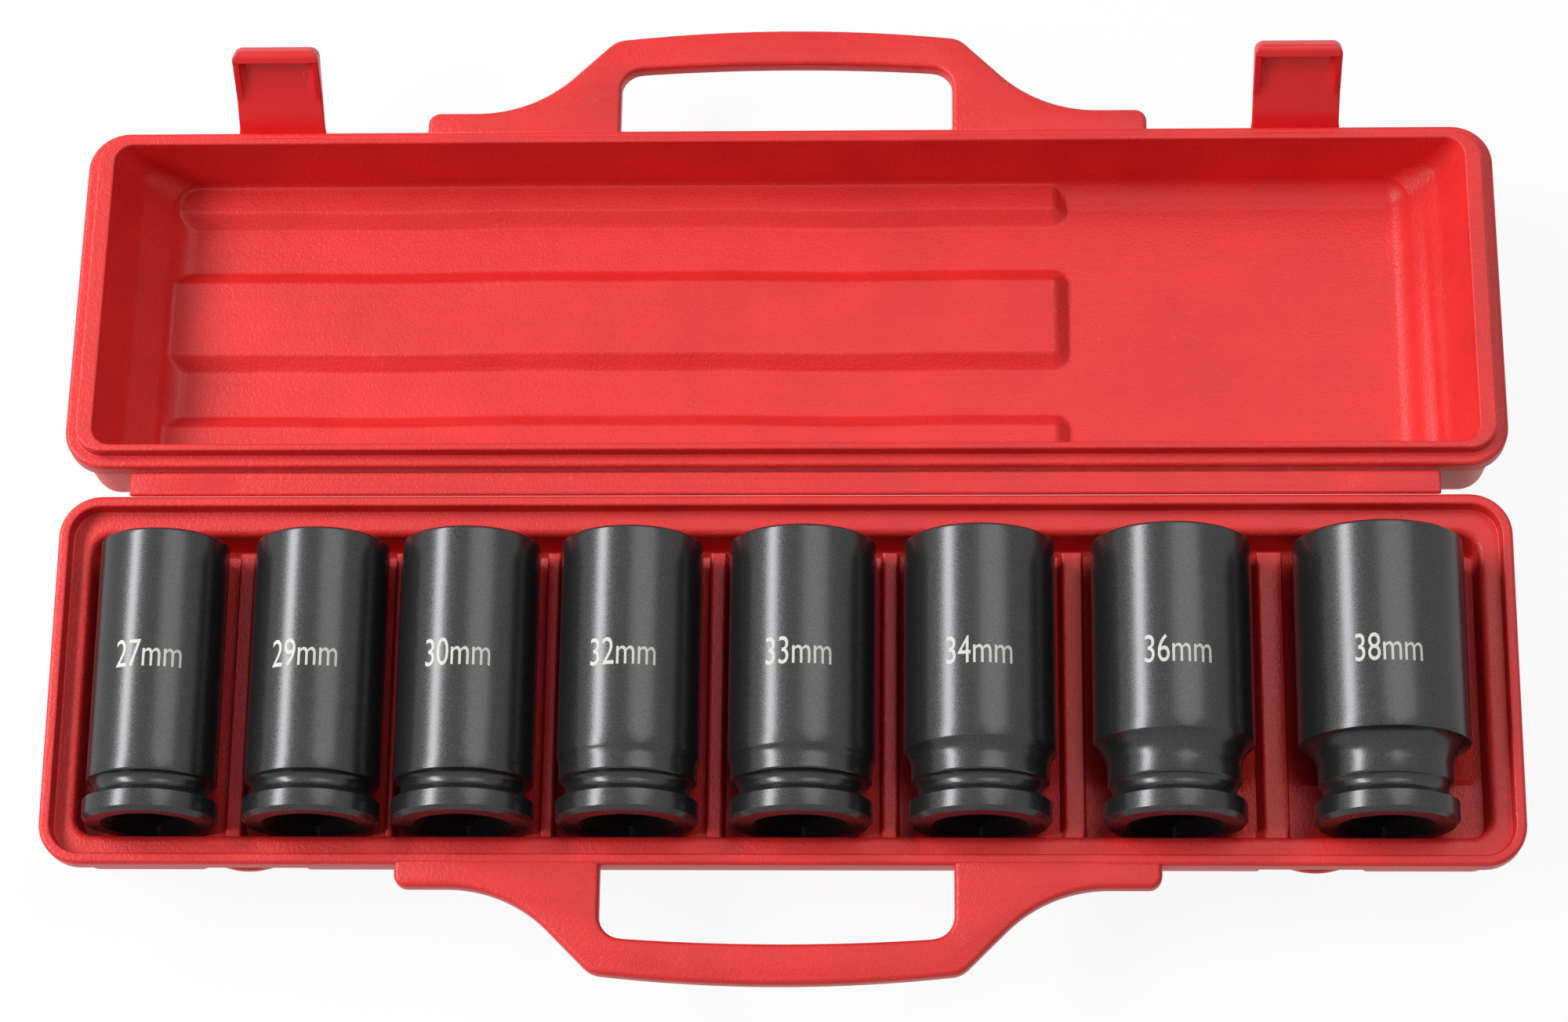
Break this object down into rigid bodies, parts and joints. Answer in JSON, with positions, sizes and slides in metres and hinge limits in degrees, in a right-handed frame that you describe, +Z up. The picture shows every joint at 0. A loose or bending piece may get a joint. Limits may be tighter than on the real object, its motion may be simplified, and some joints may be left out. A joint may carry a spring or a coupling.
{
  "type": "socket wrench set in case",
  "caption": "Deep impact sockets in a hinged, moulded carrying case with a fitted tray, two fold-over latches and a split handle; the lid folds shut over the sockets.",
  "frame": {"origin": "middle of the base's flat underside", "axes": "+X along the case towards its largest socket, +Y from the handle side towards the hinge, +Z up; the lid lies open"},
  "size_m": [0.455, 0.3191, 0.0662],
  "materials": {
    "case_plastic": "red moulded polyethylene with a fine grain",
    "latch_plastic": "smoother, deeper red moulded plastic",
    "socket_steel": "black phosphated steel with a satin sheen"
  },
  "bodies": {
    "base": {"base_outer_shell": "case_plastic", "socket_tray": "case_plastic", "base_handle": "case_plastic", "catch_left": "case_plastic", "catch_right": "case_plastic"},
    "web": {"hinge_web": "case_plastic"},
    "lid": {"lid_outer_shell": "case_plastic", "lid_liner": "case_plastic", "lid_tongue": "case_plastic", "lid_handle": "case_plastic"},
    "left_latch": {"latch_left": "latch_plastic"},
    "right_latch": {"latch_right": "latch_plastic"},
    "loose_socket_27": {"socket_27mm": "socket_steel"},
    "loose_socket_29": {"socket_29mm": "socket_steel"},
    "loose_socket_30": {"socket_30mm": "socket_steel"},
    "loose_socket_32": {"socket_32mm": "socket_steel"},
    "loose_socket_33": {"socket_33mm": "socket_steel"},
    "loose_socket_34": {"socket_34mm": "socket_steel"},
    "loose_socket_36": {"socket_36mm": "socket_steel"},
    "loose_socket_38": {"socket_38mm": "socket_steel"}
  },
  "joints": [
    {"name": "web_fold", "type": "hinge", "parent": "base", "child": "web", "pos_m": [0, 0.06055, 0.0384], "axis": [-1, 0, 0], "range_deg": [-90, 0]},
    {"name": "lid_fold", "type": "hinge", "parent": "web", "child": "lid", "pos_m": [0, 0.06645, 0.0384], "axis": [-1, 0, 0], "range_deg": [-93.91, 0]},
    {"name": "left_latch_fold", "type": "hinge", "parent": "lid", "child": "left_latch", "pos_m": [-0.165, 0.18732, 0.03094], "axis": [-1, 0, 0], "range_deg": [-41, 49]},
    {"name": "right_latch_fold", "type": "hinge", "parent": "lid", "child": "right_latch", "pos_m": [0.165, 0.18732, 0.03094], "axis": [-1, 0, 0], "range_deg": [-41, 49]},
    {"name": "socket_27_lift", "type": "slide", "parent": "base", "child": "loose_socket_27", "axis": [0, 0, 1], "range_m": [0, 0.06]},
    {"name": "socket_29_lift", "type": "slide", "parent": "base", "child": "loose_socket_29", "axis": [0, 0, 1], "range_m": [0, 0.06]},
    {"name": "socket_30_lift", "type": "slide", "parent": "base", "child": "loose_socket_30", "axis": [0, 0, 1], "range_m": [0, 0.06]},
    {"name": "socket_32_lift", "type": "slide", "parent": "base", "child": "loose_socket_32", "axis": [0, 0, 1], "range_m": [0, 0.06]},
    {"name": "socket_33_lift", "type": "slide", "parent": "base", "child": "loose_socket_33", "axis": [0, 0, 1], "range_m": [0, 0.06]},
    {"name": "socket_34_lift", "type": "slide", "parent": "base", "child": "loose_socket_34", "axis": [0, 0, 1], "range_m": [0, 0.06]},
    {"name": "socket_36_lift", "type": "slide", "parent": "base", "child": "loose_socket_36", "axis": [0, 0, 1], "range_m": [0, 0.06]},
    {"name": "socket_38_lift", "type": "slide", "parent": "base", "child": "loose_socket_38", "axis": [0, 0, 1], "range_m": [0, 0.06]}
  ]
}
